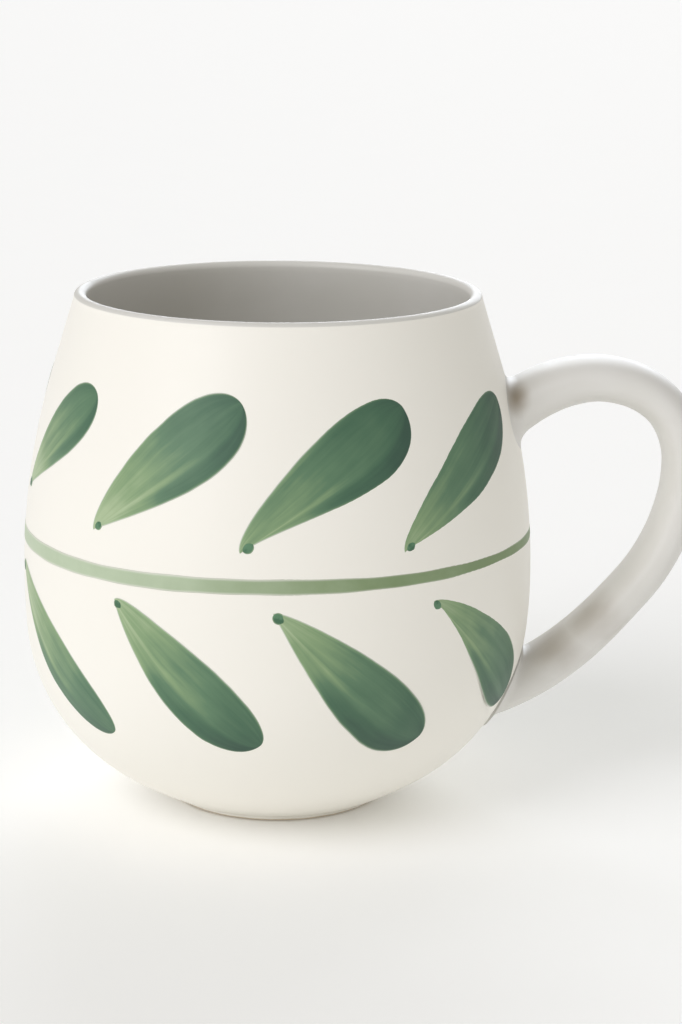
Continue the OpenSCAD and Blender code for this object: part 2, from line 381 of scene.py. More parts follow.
def brush_stroke_tree():
    """Lays one teardrop stroke on the skin: a thin closed patch that follows the body.

    The geometry put in is the skin's half section. The stroke's own lengthwise and crosswise
    places go with it as the UV map StrokeUV, for the paint.
    """
    tree = node_group("Brush Stroke", [
        ("Tip Azimuth", "Float", 0.0), ("Tip Arc", "Float", 0.05), ("Heading", "Float", 0.6),
        ("Length", "Float", 0.037), ("Width Above", "Float", 0.006), ("Width Below", "Float", 0.006),
        ("Taper Above", "Float", 0.55), ("Taper Below", "Float", 1.0), ("Bluntness", "Float", 2.6),
        ("Lift", "Float", 0.00007), ("Ragged", "Float", 0.03), ("Belly Radius", "Float", 0.046),
        ("Along", "Int", 72), ("Across", "Int", 28), ("Seed", "Float", 1.0), ("Load", "Float", 0.0),
        ("Material", "Material", None)])
    start = add_node(tree, "NodeGroupInput")
    put = start.outputs
    skin = add_node(tree, "GeometryNodeMeshToCurve", links={"Mesh": put["Geometry"]})
    sheet = add_node(tree, "GeometryNodeMeshGrid", {"[Size X]": 2.0, "[Size Y]": 1.0},
                     {"Vertices X": put["Across"], "Vertices Y": put["Along"]})
    place = add_node(tree, "GeometryNodeInputPosition")
    split = add_node(tree, "ShaderNodeSeparateXYZ", links={0: place.outputs[0]})
    # rows crowd towards both ends, where the outline turns
    even = maths(tree, "ADD", split.outputs["Y"], 0.5)
    u = maths(tree, "SUBTRACT", 0.5, maths(tree, "MULTIPLY", 0.5, maths(
        tree, "COSINE", maths(tree, "MULTIPLY", even, math.pi))))
    v = maths(tree, "SINE", maths(tree, "MULTIPLY", split.outputs["X"], math.pi / 2))
    # the stroke is fuller on one side of its line than on the other
    above = maths(tree, "GREATER_THAN", v, 0.0)
    taper, width = (add_node(tree, "ShaderNodeMix", {"data_type": "FLOAT"}, {
        0: above, 2: put[f"{kind} Below"], 3: put[f"{kind} Above"]}).outputs[0]
        for kind in ("Taper", "Width"))
    shape = maths(tree, "MULTIPLY", maths(tree, "POWER", u, taper), maths(
        tree, "SQRT", maths(tree, "MAXIMUM", 0.0, maths(
            tree, "SUBTRACT", 1.0, maths(tree, "POWER", u, put["Bluntness"])))))
    # each side's edge wanders on its own
    side = maths(tree, "SIGN", split.outputs["X"])
    walk = add_node(tree, "ShaderNodeCombineXYZ", links={
        "X": maths(tree, "MULTIPLY", u, 6.0), "Y": maths(tree, "MULTIPLY", side, 3.7),
        "Z": put["Seed"]})
    wander = add_node(tree, "ShaderNodeTexNoise", {"[Scale]": 1.0, "[Detail]": 3.0},
                      {"Vector": walk.outputs[0]})
    rough = maths(tree, "ADD", 1.0, maths(tree, "MULTIPLY", put["Ragged"], maths(
        tree, "SUBTRACT", wander.outputs[0], 0.5)))
    half = maths(tree, "MULTIPLY", maths(tree, "MULTIPLY", shape, rough), width)
    along = maths(tree, "MULTIPLY", u, put["Length"])
    across = maths(tree, "MULTIPLY", v, half)
    c, s = maths(tree, "COSINE", put["Heading"]), maths(tree, "SINE", put["Heading"])
    level = maths(tree, "SUBTRACT", maths(tree, "MULTIPLY", along, c),
                  maths(tree, "MULTIPLY", across, s))
    climb = maths(tree, "ADD", maths(tree, "MULTIPLY", along, s),
                  maths(tree, "MULTIPLY", across, c))
    azimuth = maths(tree, "ADD", put["Tip Azimuth"], maths(tree, "DIVIDE", level, put["Belly Radius"]))
    arc = maths(tree, "ADD", put["Tip Arc"], climb)
    on_skin = add_node(tree, "GeometryNodeSampleCurve", {"mode": "LENGTH", "data_type": "FLOAT_VECTOR"},
                       {"Curves": skin.outputs[0], "Length": arc})
    lead = add_node(tree, "ShaderNodeSeparateXYZ", links={0: on_skin.outputs["Position"]})
    run = add_node(tree, "ShaderNodeSeparateXYZ", links={0: on_skin.outputs["Tangent"]})
    # paint thickens evenly from nothing at the outline to its full lift half a millimetre in
    inward = maths(tree, "MULTIPLY", half, maths(tree, "SUBTRACT", 1.0, maths(tree, "ABSOLUTE", v)))
    swell = add_node(tree, "ShaderNodeMapRange", {"[From Max]": 0.0005},
                     {"Value": inward})
    sheets = []
    for outer in (True, False):
        rise = maths(tree, "MULTIPLY", swell.outputs[0], put["Lift"] if outer else -0.12 * MM)
        rise = maths(tree, "SUBTRACT", rise, 0.00002)
        r = maths(tree, "ADD", lead.outputs["X"], maths(tree, "MULTIPLY", rise, run.outputs["Z"]))
        z = maths(tree, "SUBTRACT", lead.outputs["Z"], maths(tree, "MULTIPLY", rise, run.outputs["X"]))
        spot = add_node(tree, "ShaderNodeCombineXYZ", links={
            "X": maths(tree, "MULTIPLY", r, maths(tree, "SINE", azimuth)),
            "Y": maths(tree, "MULTIPLY", maths(tree, "MULTIPLY", r, maths(tree, "COSINE", azimuth)), -1.0),
            "Z": z})
        place_uv = add_node(tree, "ShaderNodeCombineXYZ", links={
            "X": u, "Y": maths(tree, "ADD", 0.5, maths(tree, "MULTIPLY", v, 0.5))})
        mapped = add_node(tree, "GeometryNodeStoreNamedAttribute",
                          {"data_type": "FLOAT2", "domain": "CORNER", "[Name]": "StrokeUV"},
                          {"Geometry": sheet.outputs["Mesh"], "Value": place_uv.outputs[0]})
        edged = add_node(tree, "GeometryNodeStoreNamedAttribute",
                         {"data_type": "FLOAT", "domain": "POINT", "[Name]": "stroke_edge"},
                         {"Geometry": mapped.outputs[0], "Value": inward})
        laid = add_node(tree, "GeometryNodeSetPosition",
                        links={"Geometry": edged.outputs[0], "Position": spot.outputs[0]})
        if outer:
            laid = add_node(tree, "GeometryNodeFlipFaces", links={"Mesh": laid.outputs[0]})
        sheets.append(laid.outputs[0])
    both = tree.nodes.new("GeometryNodeJoinGeometry")
    for sheet_out in reversed(sheets):
        tree.links.new(sheet_out, both.inputs[0])
    closed = add_node(tree, "GeometryNodeMergeByDistance", {"[Distance]": 0.000000001},
                      {"Geometry": both.outputs[0]})
    marked = closed
    for name, value in (("stroke_seed", put["Seed"]), ("stroke_load", put["Load"])):
        marked = add_node(tree, "GeometryNodeStoreNamedAttribute",
                          {"data_type": "FLOAT", "domain": "POINT", "[Name]": name},
                          {"Geometry": marked.outputs[0], "Value": value})
    smooth = add_node(tree, "GeometryNodeSetShadeSmooth", links={"Geometry": marked.outputs[0]})
    real = add_node(tree, "GeometryNodeRealizeInstances", links={"Geometry": smooth.outputs[0]})
    painted = add_node(tree, "GeometryNodeSetMaterial",
                       links={"Geometry": real.outputs[0], "Material": put["Material"]})
    add_node(tree, "NodeGroupOutput", links={0: painted.outputs[0]})
    return tree


# ---------------------------------------------------------------- materials

def new_material(name):
    material = bpy.data.materials.new(name)
    material.use_nodes = True
    tree = material.node_tree
    tree.nodes.clear()
    shader = add_node(tree, "ShaderNodeBsdfPrincipled")
    add_node(tree, "ShaderNodeOutputMaterial", links={"Surface": shader.outputs[0]})
    return material, tree, shader


def object_point(tree):
    return add_node(tree, "ShaderNodeTexCoord").outputs["Object"]


def noise(tree, point, per_metre, detail=3.0, roughness=0.5):
    return add_node(tree, "ShaderNodeTexNoise",
                    {"[Scale]": per_metre, "[Detail]": detail, "[Roughness]": roughness},
                    {"Vector": point})


def ramp(tree, value, low, high, to_low=0.0, to_high=1.0, kind="SMOOTHSTEP"):
    return add_node(tree, "ShaderNodeMapRange",
                    {"interpolation_type": kind, "[From Min]": low, "[From Max]": high,
                     "[To Min]": to_low, "[To Max]": to_high}, {"Value": value}).outputs[0]


def blend(tree, factor, a, b, mode="MIX"):
    node = tree.nodes.new("ShaderNodeMix")
    node.data_type = "RGBA"
    node.blend_type = mode
    for socket, value in ((node.inputs[0], factor), (node.inputs[6], a), (node.inputs[7], b)):
        if isinstance(value, (int, float)) or isinstance(value, tuple):
            socket.default_value = value
        else:
            tree.links.new(value, socket)
    return node.outputs[2]


def satin_glaze(name, dark, light):
    """Tin-white satin glaze, dipped over stoneware: warm and even, with faint clouding, a few
    iron specks from the clay and a very slightly orange-peeled skin that softens every highlight."""
    material, tree, shader = new_material(name)
    point = object_point(tree)
    cloud = noise(tree, point, 45.0, 3.0).outputs[0]
    base = blend(tree, ramp(tree, cloud, 0.35, 0.65), colour(light), colour(dark))
    fleck = add_node(tree, "ShaderNodeTexVoronoi", {"[Scale]": 210.0, "[Randomness]": 1.0},
                     {"Vector": point})
    rare = add_node(tree, "ShaderNodeSeparateColor", links={0: fleck.outputs["Color"]})
    dot = maths(tree, "MULTIPLY", ramp(tree, fleck.outputs["Distance"], 0.05, 0.16, 1.0, 0.0),
                ramp(tree, rare.outputs[0], 0.985, 0.992))
    base = blend(tree, maths(tree, "MULTIPLY", dot, 0.3), base, colour("#B9A98C"))
    patch = noise(tree, point, 120.0, 2.0).outputs[0]
    tree.links.new(ramp(tree, patch, 0.3, 0.7, 0.4, 0.48), shader.inputs["Roughness"])
    peel = noise(tree, point, 1400.0, 2.0).outputs[0]
    bump = add_node(tree, "ShaderNodeBump", {"[Strength]": 0.2, "[Distance]": 0.00002},
                    {"Height": peel})
    tree.links.new(bump.outputs[0], shader.inputs["Normal"])
    shader.inputs["IOR"].default_value = 1.5
    return material, tree, shader, point, base


def body_glaze():
    """The body's glaze, one coat all over: painted light makes the outer skin lighter and creamier, painted
    shade leaves the inside a little greyer, and it is wiped off the foot, which shows the buff stoneware."""
    material, tree, shader, point, base = satin_glaze("satin_white_glaze", "#D8D6CF", "#DCDAD4")
    # painted light and shade: the outer skin lighter and creamier than the greyer inside
    base = blend(tree, fact(tree, "painted_light_outer"), base, colour("#F8F5EC"))
    height = add_node(tree, "ShaderNodeSeparateXYZ", links={0: point}).outputs["Z"]
    rag = maths(tree, "MULTIPLY", maths(tree, "SUBTRACT", noise(tree, point, 260.0).outputs[0], 0.5), 0.0004)
    wiped = ramp(tree, maths(tree, "ADD", height, rag), 0.0003, 0.0006, 1.0, 0.0)
    base = blend(tree, wiped, base, colour("#CDBFA6"))
    tree.links.new(base, shader.inputs["Base Color"])
    return material


def handle_glaze():
    """The handle's glaze, with painted shade: a brownish-grey darkening in the crease of the upper root
    and on the inner bend of the lower arm, where the body and the upper arm shade them."""
    material, tree, shader, point, base = satin_glaze("satin_glaze_painted_shade", "#DFDDD7", "#E3E1DC")
    blur = noise(tree, point, 150.0, 2.0).outputs[0]
    painted_shade = None
    for centre, size, depth in PAINTED_SHADE_SPOTS:
        away = add_node(tree, "ShaderNodeVectorMath", {"operation": "SUBTRACT", 1: [c * MM for c in centre]},
                        {0: point})
        scaled = add_node(tree, "ShaderNodeVectorMath", {"operation": "DIVIDE", 1: [c * MM for c in size]},
                          {0: away.outputs[0]})
        reach = add_node(tree, "ShaderNodeVectorMath", {"operation": "LENGTH"}, {0: scaled.outputs[0]})
        uneven = maths(tree, "ADD", reach.outputs["Value"], maths(
            tree, "MULTIPLY", maths(tree, "SUBTRACT", blur, 0.5), 0.5))
        spot = ramp(tree, uneven, 0.1, 1.0, depth, 0.0)
        painted_shade = spot if painted_shade is None else maths(tree, "MAXIMUM", painted_shade, spot)
    # painted shade: the glaze is blended towards brownish grey in these spots
    base = blend(tree, painted_shade, base, colour("#8F8068"))
    tree.links.new(base, shader.inputs["Base Color"])
    return material


# Where shade is painted on the handle's glaze: centre and half sizes in millimetres, and how dark
PAINTED_SHADE_SPOTS = [
    ((42.2, -7.0, 75.0), (3.4, 7.0, 4.4), 0.8), ((58.0, -3.5, 33.0), (7.5, 7.5, 7.0), 0.5),
    ((51.5, -3.5, 27.6), (9.0, 7.5, 5.5), 0.42)]


def fact(tree, name):
    """A number that the stroke rule left on the paint."""
    return add_node(tree, "ShaderNodeAttribute", {"attribute_name": name}).outputs["Fac"]


def leaf_paint():
    """Copper green brushed under the glaze: lightly loaded yellow-green where the brush lands, pooling to a
    blue-green heel. The brush drags one narrow pale streak and leaves a loaded flank below it; the
    outline bleeds a little lighter into the glaze."""
    settings = bpy.context.scene.mug_paint
    material, tree, shader = new_material("leaf_brush_paint")
    uv = add_node(tree, "ShaderNodeUVMap", {"uv_map": "StrokeUV"})
    split = add_node(tree, "ShaderNodeSeparateXYZ", links={0: uv.outputs[0]})
    u = split.outputs["X"]
    v = maths(tree, "MULTIPLY_ADD", split.outputs["Y"], 2.0, -1.0)
    seed, charge, edge = (fact(tree, f"stroke_{name}") for name in ("seed", "load", "edge"))
    point = object_point(tree)
    # soft hair streaks: few across the stroke, drawn out along it
    hair_at = add_node(tree, "ShaderNodeCombineXYZ", links={
        "X": maths(tree, "MULTIPLY", u, 1.8), "Y": maths(tree, "MULTIPLY", v, 3.2), "Z": seed})
    hair = noise(tree, hair_at.outputs[0], 1.0, 3.0, 0.55).outputs[0]
    fine_at = add_node(tree, "ShaderNodeCombineXYZ", links={
        "X": maths(tree, "MULTIPLY", u, 3.0), "Y": maths(tree, "MULTIPLY", v, 13.0), "Z": seed})
    fine = noise(tree, fine_at.outputs[0], 1.0, 2.0, 0.5).outputs[0]
    wash = noise(tree, point, 150.0, 2.0, 0.5).outputs[0]
    load = maths(tree, "MULTIPLY_ADD", u, 0.72, 0.06)
    load = maths(tree, "ADD", load, charge)
    for texture, amount in ((hair, 0.42), (fine, 0.12), (wash, 0.26)):
        load = maths(tree, "ADD", load, maths(
            tree, "MULTIPLY", maths(tree, "SUBTRACT", texture, 0.5), amount))
    # the pale dragged streak, and the loaded flank below it
    wiggle = maths(tree, "MULTIPLY", maths(tree, "SUBTRACT", hair, 0.5), 0.3)
    from_streak = maths(tree, "ABSOLUTE", maths(tree, "ADD", v, maths(tree, "ADD", 0.33, wiggle)))
    streak = maths(tree, "MULTIPLY", ramp(tree, from_streak, 0.0, 0.2, 1.0, 0.0),
                   ramp(tree, u, 0.5, 0.85, 1.0, 0.0))
    flank = maths(tree, "MULTIPLY", ramp(tree, maths(tree, "ADD", v, wiggle), -0.38, -0.62),
                  ramp(tree, u, 0.3, 0.48))
    load = maths(tree, "SUBTRACT", load, maths(tree, "MULTIPLY", streak, 0.12))
    load = maths(tree, "ADD", load, maths(tree, "MULTIPLY", flank, 0.2))
    shade = add_node(tree, "ShaderNodeValToRGB", links={0: load})
    stops = shade.color_ramp.elements
    stops[0].position, stops[0].color = 0.02, tuple(settings.leaf_tip)
    stops[1].position, stops[1].color = 0.98, tuple(settings.leaf_heel)
    for position, code in ((0.22, "#86A176"), (0.46, "#5D8061"), (0.72, "#456A51")):
        stop = stops.new(position)
        stop.color = colour(code)
    halo = maths(tree, "MULTIPLY", ramp(tree, edge, 0.00015, 0.0006, 1.0, 0.0), 0.4)
    base = blend(tree, halo, shade.outputs[0], colour("#93B285"))
    bleed = ramp(tree, edge, 0.0, 0.0003, 1.0, 0.0)
    base = blend(tree, maths(tree, "MULTIPLY", bleed, 0.85), base, colour("#DFDFD6"))
    tree.links.new(base, shader.inputs["Base Color"])
    tree.links.new(ramp(tree, hair, 0.3, 0.7, 0.42, 0.5), shader.inputs["Roughness"])
    bump = add_node(tree, "ShaderNodeBump", {"[Strength]": 0.12, "[Distance]": 0.00003},
                    {"Height": hair})
    tree.links.new(bump.outputs[0], shader.inputs["Normal"])
    shader.inputs["IOR"].default_value = 1.5
    return material


def stem_wash():
    """The same green let down with water for the stem line: palest where the brush was lifted,
    painted darker towards the handle side as painted shade, and soft at both edges."""
    material, tree, shader = new_material("stem_line_wash")
    point = object_point(tree)
    run = noise(tree, point, 110.0, 4.0, 0.6).outputs[0]
    split = add_node(tree, "ShaderNodeSeparateXYZ", links={0: point})
    # painted shade: the stem darkens from the lit left side towards +X, the shaded right flank
    turn = ramp(tree, split.outputs["X"], -0.045, 0.035)
    wash_and_shade = maths(tree, "ADD", turn, maths(tree, "MULTIPLY", maths(tree, "SUBTRACT", run, 0.5), 0.6))
    base = blend(tree, wash_and_shade, colour("#BAC9AC"), colour("#7E9368"))
    edge = fact(tree, "stroke_edge")
    base = blend(tree, maths(tree, "MULTIPLY", ramp(tree, edge, 0.0, 0.0005, 1.0, 0.0), 0.8), base,
                 colour("#DDDED2"))
    tree.links.new(base, shader.inputs["Base Color"])
    tree.links.new(ramp(tree, run, 0.3, 0.7, 0.42, 0.5), shader.inputs["Roughness"])
    shader.inputs["IOR"].default_value = 1.5
    return material


def dot_paint():
    """A full, undiluted dab of the green: dark, a little lighter where little of it lies."""
    material, tree, shader = new_material("dark_dab_paint")
    pool = noise(tree, object_point(tree), 900.0, 2.0).outputs[0]
    base = blend(tree, ramp(tree, pool, 0.35, 0.65), colour("#3F6A4C"), colour("#5A8463"))
    bleed = ramp(tree, fact(tree, "stroke_edge"), 0.0, 0.0003, 1.0, 0.0)
    base = blend(tree, maths(tree, "MULTIPLY", bleed, 0.7), base, colour("#A9BC98"))
    tree.links.new(base, shader.inputs["Base Color"])
    shader.inputs["Roughness"].default_value = 0.45
    shader.inputs["IOR"].default_value = 1.5
    return material


MATERIALS = {}


def material_named(make):
    if make not in MATERIALS:
        MATERIALS[make] = make()
    return MATERIALS[make]


# ---------------------------------------------------------------- body

class MUG_OT_body(bpy.types.Operator):
    """Turns the body from its half section"""
    bl_idname = "mug.make_body"
    bl_label = "Turn Body"

    def execute(self, context):
        s = context.scene.mug_body
        obj = line_object("body_turned", body_profile().line())
        apply_tree(obj, turned_vessel_tree(), {
            "Segments": s.segments, "Out of Round": s.out_of_round, "Slump": s.slump, "Seed": 3,
            "Material": material_named(body_glaze)})
        outward_normals(obj)
        finish_piece(obj, ["body"])
        return {"FINISHED"}


# ---------------------------------------------------------------- handle

# The strap's centre line in the XZ plane, from the upper root round to the lower one, with
# thickness and width in millimetres at each point: it is pulled thicker towards both roots.
STRAP = [
    (36.0, 66.0, 9.2, 17.6), (41.0, 70.8, 9.0, 17.0), (46.8, 74.6, 8.5, 16.4),
    (52.4, 76.7, 8.1, 15.8), (58.1, 77.3, 7.9, 15.2), (65.0, 75.6, 7.9, 15.0),
    (70.2, 71.5, 7.8, 14.8), (73.07, 65.2, 7.6, 14.6), (73.26, 58.5, 7.4, 14.4),
    (71.4, 50.4, 7.4, 14.2), (67.6, 42.6, 7.4, 14.2), (62.1, 35.7, 7.4, 14.6),
    (55.4, 28.8, 7.7, 15.2), (48.6, 23.6, 7.9, 16.2), (41.5, 20.0, 8.2, 17.4),
    (35.0, 17.8, 8.4, 18.0)]


def smooth_path(points, count):
    """Centripetal spline through the points: count samples of (x, z, thickness, width)."""
    p = np.array(points, dtype=float)
    p = np.vstack([2 * p[0] - p[1], p, 2 * p[-1] - p[-2]])
    knots = np.concatenate([[0], np.cumsum(np.linalg.norm(np.diff(p[:, :2], axis=0), axis=1) ** 0.5)])
    out = []
    for t in np.linspace(knots[1], knots[-2], count):
        i = min(max(int(np.searchsorted(knots, t)) - 1, 1), len(p) - 3)
        t0, t1, t2, t3 = knots[i - 1:i + 3]
        a1 = (t1 - t) / (t1 - t0) * p[i - 1] + (t - t0) / (t1 - t0) * p[i]
        a2 = (t2 - t) / (t2 - t1) * p[i] + (t - t1) / (t2 - t1) * p[i + 1]
        a3 = (t3 - t) / (t3 - t2) * p[i + 1] + (t - t2) / (t3 - t2) * p[i + 2]
        b1 = (t2 - t) / (t2 - t0) * a1 + (t - t0) / (t2 - t0) * a2
        b2 = (t3 - t) / (t3 - t1) * a2 + (t - t1) / (t3 - t1) * a3
        out.append((t2 - t) / (t2 - t1) * b1 + (t - t1) / (t2 - t1) * b2)
    return np.array(out)


def strap_surface(context, rows=260):
    """Grid of points on the strap, rows along it by points round it, in metres."""
    s = context.scene.mug_handle
    path = smooth_path(STRAP, rows)
    tangent = np.gradient(path[:, :2], axis=0)
    tangent /= np.linalg.norm(tangent, axis=1)[:, None]
    normal = np.stack([-tangent[:, 1], tangent[:, 0]], axis=1)
    angle = np.linspace(0, 2 * math.pi, s.around, endpoint=False)
    power = 2 / 2.35
    ca = np.sign(np.cos(angle)) * np.abs(np.cos(angle)) ** power
    sa = np.sign(np.sin(angle)) * np.abs(np.sin(angle)) ** power
    grid = np.zeros((rows, s.around, 3))
    thick = path[:, 2] / 7.8 * s.thickness / MM / 2
    wide = path[:, 3] / 15.2 * s.width / MM / 2
    for k in range(rows):
        grid[k, :, 0] = path[k, 0] + normal[k, 0] * thick[k] * ca
        grid[k, :, 2] = path[k, 1] + normal[k, 1] * thick[k] * ca
        grid[k, :, 1] = wide[k] * sa
    return grid * MM


def meet_body(profile, curve):
    """Index (fractional) along a generator, from its buried end, where it leaves the body."""
    def clear(p):
        return math.hypot(p[0], p[1]) - profile.radius(p[2])
    for i in range(len(curve) - 1):
        a, b = clear(curve[i]), clear(curve[i + 1])
        if a < 0 <= b:
            return i + a / (a - b)
    raise RuntimeError("the strap never leaves the body")


def at(curve, index):
    i = int(index)
    i = min(max(i, 0), len(curve) - 2)
    return curve[i] + (curve[i + 1] - curve[i]) * (index - i)


def tube_faces(rows, around, offset=0):
    faces = []
    for r in range(rows - 1):
        for c in range(around):
            d = (c + 1) % around
            a, b = offset + r * around, offset + (r + 1) * around
            faces.append((a + c, a + d, b + d, b + c))
    return faces


def walk_distance(curve, index, distance, step=0.05):
    """Index reached by going a distance along a generator, away from its buried end."""
    here, gone = at(curve, index), 0.0
    while gone < distance:
        index += step
        there = at(curve, index)
        gone += float(np.linalg.norm(there - here))
        here = there
    return index


class Root:
    """One root of the strap: where each generator leaves the body and how the clay is smoothed."""

    def __init__(self, grid, reach):
        self.profile = body_profile()
        self.around = grid.shape[1]
        self.leave, self.start, self.foot = [], [], []
        corners = []
        for c in range(self.around):
            curve = grid[:, c]
            index = meet_body(self.profile, curve)
            corners.append(at(curve, index))
            self.leave.append(index)
        self.corners = np.array(corners)
        centre = self.corners.mean(axis=0)
        for c in range(self.around):
            curve = grid[:, c]
            begin = walk_distance(curve, self.leave[c], reach[c])
            self.start.append(begin)
            self.foot.append(self.on_body(self.corners[c], centre, reach[c]))
        self.foot = np.array(self.foot)

    def on_body(self, corner, centre, distance):
        """Point on the body, a distance out from the corner and away from the root's middle."""
        az = math.atan2(corner[1], corner[0])
        mid = math.atan2(centre[1], centre[0])
        r = math.hypot(corner[0], corner[1])
        out = np.array([(az - mid) * r, corner[2] - centre[2]])
        out /= max(np.linalg.norm(out), 1e-9)
        z = corner[2] + out[1] * distance
        slope = (self.profile.radius(z) - self.profile.radius(corner[2])) / (z - corner[2] + 1e-9)
        z = corner[2] + out[1] * distance / math.sqrt(1 + slope * slope)
        az += out[0] * distance / r
        r = self.profile.radius(z)
        return np.array([r * math.cos(az), r * math.sin(az), z])


def fillet_reach(context, outer):
    """How far the smoothed clay reaches at each point round the strap: in full on the side inside
    the loop, and only by the given share on the outer side."""
    s = context.scene.mug_handle
    angle = np.linspace(0, 2 * math.pi, s.around, endpoint=False)
    towards_outer = (1 + np.cos(angle)) / 2
    return s.fillet * (1 + (outer - 1) * towards_outer ** 1.5)


def joint_piece(context, name, node, grid, outer):
    """The ring of smoothed clay round one root: it leaves the strap and lands on the body in one
    hollow curve, and closes inside the clay."""
    around = grid.shape[1]
    reach = fillet_reach(context, outer)
    root = Root(grid, reach)
    rows = []
    steps = 14
    landing = 1.2 * MM
    glaze_depth = 0.12 * MM
    hub = root.corners.mean(axis=0)
    for c in range(around):
        curve = grid[:, c]
        a, q, b = at(curve, root.start[c]), root.corners[c], root.foot[c]
        lead = at(curve, root.start[c] + 2.0)
        strand = [lead + (hub - lead) * 0.012, a + (hub - a) * 0.004]
        for t in np.linspace(0, 1, steps)[1:]:
            strand.append((1 - t) ** 2 * a + 2 * t * (1 - t) * q + t * t * b)
        # the landing runs on under the glaze, then back inside to the start
        beyond = root.on_body(b, hub, landing)
        inward = np.array([beyond[0], beyond[1], 0.0])
        inward /= np.linalg.norm(inward)
        strand.append(beyond - inward * glaze_depth)
        strand.append(b - inward * landing)
        strand.append(q + (hub - q) * 0.35 - inward * landing)
        strand.append(lead + (hub - lead) * 0.3)
        rows.append(strand)
    cols = len(rows[0])
    verts = [rows[c][k] for k in range(cols) for c in range(around)]
    faces = tube_faces(cols, around)
    last = (cols - 1) * around
    faces += [(last + c, last + (c + 1) % around, (c + 1) % around, c) for c in range(around)]
    mesh = mesh_from(name, verts, faces)
    obj = link_object(name, mesh)
    outward_normals(obj)
    finish_piece(obj, [node], material_named(handle_glaze))
    return root


def outward_normals(obj):
    """Turns every face of a closed piece outwards."""
    bm = bmesh.new()
    bm.from_mesh(obj.data)
    bmesh.ops.recalc_face_normals(bm, faces=bm.faces)
    if bm.calc_volume(signed=True) < 0:
        bmesh.ops.reverse_faces(bm, faces=bm.faces)
    bm.to_mesh(obj.data)
    bm.free()


class MUG_OT_handle(bpy.types.Operator):
    """Sweeps the strap and smooths its two roots onto the body"""
    bl_idname = "mug.make_handle"
    bl_label = "Pull Handle"

    def execute(self, context):
        grid = strap_surface(context)
        rows, around, _ = grid.shape
        upper = joint_piece(context, "joint_upper_smoothed", "handle_joint_upper", grid, 0.9)
        lower = joint_piece(context, "joint_lower_smoothed", "handle_joint_lower", grid[::-1], 0.5)
        # the strap runs from just inside one joint to just inside the other
        first = max(0, int(min(upper.leave)) - 2)
        last = rows - max(0, int(min(lower.leave)) - 2)
        strap = grid[first:last]
        verts = [p for row in strap for p in row]
        faces = tube_faces(len(strap), around)
        for row, end in ((0, strap[0]), (len(strap) - 1, strap[-1])):
            verts.append(end.mean(axis=0))
            tip = len(verts) - 1
            faces += [(row * around + c, row * around + (c + 1) % around, tip) for c in range(around)]
        obj = link_object("handle_strap", mesh_from("handle_strap", verts, faces))
        outward_normals(obj)
        finish_piece(obj, ["handle"], material_named(handle_glaze))
        return {"FINISHED"}


# ---------------------------------------------------------------- painting

# One row per stroke: tip azimuth (degrees), tip height (mm), heading (degrees above level),
# length (mm), half width above and below its line (mm), how slowly each side opens from the
# tip, and how much paint the brush held. Azimuth 0 faces the camera side.
UPPER_STROKES = [
    (-80.0, 59.0, 40.0, 32.0, 6.0, 5.0, 0.80, 1.0, -0.14),
    (-44.0, 57.0, 40.0, 37.0, 7.0, 6.5, 0.60, 1.0, -0.05),
    (-8.0, 56.0, 37.0, 39.0, 7.0, 7.0, 0.55, 1.5, 0.08),
    (28.0, 55.0, 35.0, 39.0, 6.5, 6.0, 0.50, 1.0, 0.10),
    (103.0, 56.2, 36.5, 36.0, 6.3, 6.2, 0.55, 1.0, 0.05),
    (136.0, 57.0, 38.0, 37.0, 6.6, 6.4, 0.55, 1.1, 0.00),
    (168.5, 56.4, 36.0, 38.0, 6.5, 6.2, 0.55, 1.2, 0.06),
    (201.0, 57.0, 39.0, 36.5, 6.4, 6.6, 0.55, 1.0, -0.04),
    (233.5, 57.6, 38.0, 36.0, 6.6, 6.2, 0.55, 1.1, 0.02)]
LOWER_STROKES = [
    (-80.0, 45.5, -38.0, 40.0, 5.0, 5.5, 0.50, 1.0, -0.12),
    (-37.0, 46.0, -42.0, 36.0, 5.0, 7.0, 0.50, 0.8, -0.02),
    (-1.0, 46.0, -41.0, 38.0, 5.0, 8.0, 0.60, 1.0, 0.04),
    (35.0, 46.0, -41.0, 35.0, 6.5, 5.5, 0.60, 1.5, 0.02),
    (106.0, 45.6, -41.0, 35.5, 4.7, 6.6, 0.55, 0.9, 0.04),
    (139.0, 46.0, -42.0, 37.0, 4.8, 7.0, 0.52, 0.9, 0.00),
    (171.5, 45.7, -40.0, 37.5, 4.7, 6.4, 0.55, 0.8, 0.05),
    (204.0, 46.1, -42.0, 36.5, 4.9, 7.2, 0.52, 1.0, -0.03),
    (236.5, 45.8, -41.0, 36.0, 4.6, 6.4, 0.55, 0.9, 0.02)]


def skin_line(profile):
    """The painted part of the half section, and the arc length below the belly where it starts."""
    start = -44 * MM
    return [profile.skin(a) for a in np.linspace(start, 52 * MM, 300)], -start


def full(width, taper, blunt):
    """The width to give the stroke rule so that the stroke is this wide where it is widest."""
    widest = (2 * taper / (2 * taper + blunt)) ** (1 / blunt)
    return width * MM / (widest ** taper * math.sqrt(1 - widest ** blunt))


def lay_stroke(name, stroke, seed, tree, profile, material, lift, blunt=2.6, ragged=0.08,
               counts=(76, 30)):
    azimuth, height, heading, long, above, below, taper_above, taper_below, load = stroke
    points, start = skin_line(profile)
    obj = line_object(name, points)
    return apply_tree(obj, tree, {
        "Tip Azimuth": math.radians(azimuth), "Tip Arc": start + profile.arc_at(height * MM),
        "Heading": math.radians(heading), "Length": long * MM,
        "Width Above": full(above, taper_above, blunt), "Width Below": full(below, taper_below, blunt),
        "Taper Above": taper_above, "Taper Below": taper_below, "Bluntness": blunt, "Lift": lift,
        "Ragged": ragged, "Belly Radius": profile.s.belly_radius, "Along": counts[0],
        "Across": counts[1], "Seed": float(seed), "Load": load, "Material": material})


